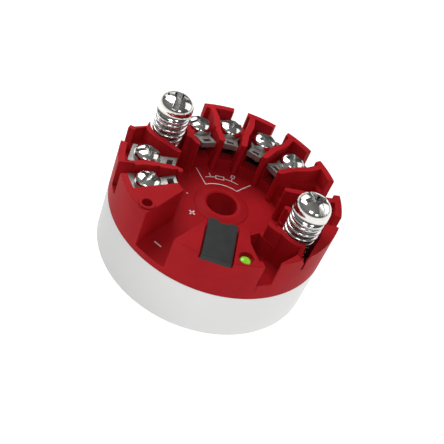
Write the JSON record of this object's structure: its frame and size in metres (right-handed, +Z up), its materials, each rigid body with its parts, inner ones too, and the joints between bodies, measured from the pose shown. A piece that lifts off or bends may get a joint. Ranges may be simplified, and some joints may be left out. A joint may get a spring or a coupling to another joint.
{
  "type": "head transmitter",
  "caption": "Round head transmitter with a ring of screw clamp terminals, sprung captive mounting screws, a bore in the middle and a covered interface socket.",
  "frame": {"origin": "middle of the casing's flat underside", "axes": "+Z up through the round body, +X through the right mounting screw, -Y towards the open test channel"},
  "size_m": [0.044, 0.044, 0.0278],
  "materials": {
    "red_plastic": "satin moulding",
    "casing_plastic": "matt moulding",
    "silver_foil": "satin wrapped foil",
    "board_green": "solder resist",
    "black_plastic": "matt",
    "dark_grey_plastic": "fine grained",
    "ferrite": "matt",
    "capacitor_yellow": "dipped",
    "resin": "poured",
    "green_lens": "clear lens",
    "nickel": "bright plated",
    "spring_steel": "bright wire",
    "gold_plate": "thin plating",
    "black_steel": "oiled"
  },
  "bodies": {
    "housing": {"terminal_housing": "red_plastic", "lower_casing": "casing_plastic", "wrap_label": "silver_foil", "main_board": "board_green", "processor_chip": "black_plastic", "transformer": "ferrite", "reservoir_capacitor": "capacitor_yellow", "potting_resin": "resin", "interface_header": "black_plastic", "interface_pins": "gold_plate", "status_led": "green_lens", "led_leads": "nickel", "test_contact": "nickel", "terminal_1": "nickel", "terminal_2": "nickel", "terminal_3": "nickel", "terminal_4": "nickel", "terminal_5": "nickel", "terminal_6": "nickel"},
    "screw_1": {"terminal_screw_1": "nickel"},
    "clamp_1": {"clamp_plate_1": "nickel"},
    "screw_2": {"terminal_screw_2": "nickel"},
    "clamp_2": {"clamp_plate_2": "nickel"},
    "screw_3": {"terminal_screw_3": "nickel"},
    "clamp_3": {"clamp_plate_3": "nickel"},
    "screw_4": {"terminal_screw_4": "nickel"},
    "clamp_4": {"clamp_plate_4": "nickel"},
    "screw_5": {"terminal_screw_5": "nickel"},
    "clamp_5": {"clamp_plate_5": "nickel"},
    "screw_6": {"terminal_screw_6": "nickel"},
    "clamp_6": {"clamp_plate_6": "nickel"},
    "spring_left": {"mounting_spring_left": "spring_steel"},
    "mount_left": {"mounting_screw_left": "nickel", "screw_retainer_left": "black_steel"},
    "spring_right": {"mounting_spring_right": "spring_steel"},
    "mount_right": {"mounting_screw_right": "nickel", "screw_retainer_right": "black_steel"},
    "cover": {"interface_cover": "dark_grey_plastic"}
  },
  "joints": [
    {"name": "screw_1_turn", "type": "hinge", "parent": "housing", "child": "screw_1", "pos_m": [-0.01448, -0.00832, 0.0182], "axis": [0, 0, 1], "range_deg": [-1700, 0]},
    {"name": "clamp_1_rise", "type": "slide", "parent": "housing", "child": "clamp_1", "axis": [0, 0, 1], "range_m": [0, 0.00236]},
    {"name": "screw_2_turn", "type": "hinge", "parent": "housing", "child": "screw_2", "pos_m": [-0.00946, -0.01376, 0.0182], "axis": [0, 0, 1], "range_deg": [-1700, 0]},
    {"name": "clamp_2_rise", "type": "slide", "parent": "housing", "child": "clamp_2", "axis": [0, 0, 1], "range_m": [0, 0.00236]},
    {"name": "screw_3_turn", "type": "hinge", "parent": "housing", "child": "screw_3", "pos_m": [-0.01465, 0.00802, 0.0182], "axis": [0, 0, 1], "range_deg": [-1700, 0]},
    {"name": "clamp_3_rise", "type": "slide", "parent": "housing", "child": "clamp_3", "axis": [0, 0, 1], "range_m": [0, 0.00236]},
    {"name": "screw_4_turn", "type": "hinge", "parent": "housing", "child": "screw_4", "pos_m": [-0.01021, 0.01321, 0.0182], "axis": [0, 0, 1], "range_deg": [-1700, 0]},
    {"name": "clamp_4_rise", "type": "slide", "parent": "housing", "child": "clamp_4", "axis": [0, 0, 1], "range_m": [0, 0.00236]},
    {"name": "screw_5_turn", "type": "hinge", "parent": "housing", "child": "screw_5", "pos_m": [-0.00342, 0.01635, 0.0182], "axis": [0, 0, 1], "range_deg": [-1700, 0]},
    {"name": "clamp_5_rise", "type": "slide", "parent": "housing", "child": "clamp_5", "axis": [0, 0, 1], "range_m": [0, 0.00236]},
    {"name": "screw_6_turn", "type": "hinge", "parent": "housing", "child": "screw_6", "pos_m": [0.00387, 0.01625, 0.0182], "axis": [0, 0, 1], "range_deg": [-1700, 0]},
    {"name": "clamp_6_rise", "type": "slide", "parent": "housing", "child": "clamp_6", "axis": [0, 0, 1], "range_m": [0, 0.00236]},
    {"name": "mount_left_push", "type": "slide", "parent": "housing", "child": "spring_left", "axis": [0, 0, 1], "range_m": [-0.005, 0], "stiffness_N_per_m": 400, "springref_m": 0.0004, "deforming": ["mounting_spring_left"]},
    {"name": "mount_left_turn", "type": "hinge", "parent": "spring_left", "child": "mount_left", "pos_m": [-0.0165, 0, 0.0241], "axis": [0, 0, 1], "continuous": true},
    {"name": "mount_right_push", "type": "slide", "parent": "housing", "child": "spring_right", "axis": [0, 0, 1], "range_m": [-0.005, 0], "stiffness_N_per_m": 400, "springref_m": 0.0004, "deforming": ["mounting_spring_right"]},
    {"name": "mount_right_turn", "type": "hinge", "parent": "spring_right", "child": "mount_right", "pos_m": [0.0165, 0, 0.0241], "axis": [0, 0, 1], "continuous": true},
    {"name": "cover_lift", "type": "slide", "parent": "housing", "child": "cover", "axis": [0, 0, 1], "range_m": [0, 0.012]}
  ],
  "couplings": [
    {"joint": "screw_1_turn", "follows": "clamp_1_rise", "rad_per_m": -12566},
    {"joint": "screw_2_turn", "follows": "clamp_2_rise", "rad_per_m": -12566},
    {"joint": "screw_3_turn", "follows": "clamp_3_rise", "rad_per_m": -12566},
    {"joint": "screw_4_turn", "follows": "clamp_4_rise", "rad_per_m": -12566},
    {"joint": "screw_5_turn", "follows": "clamp_5_rise", "rad_per_m": -12566},
    {"joint": "screw_6_turn", "follows": "clamp_6_rise", "rad_per_m": -12566}
  ]
}
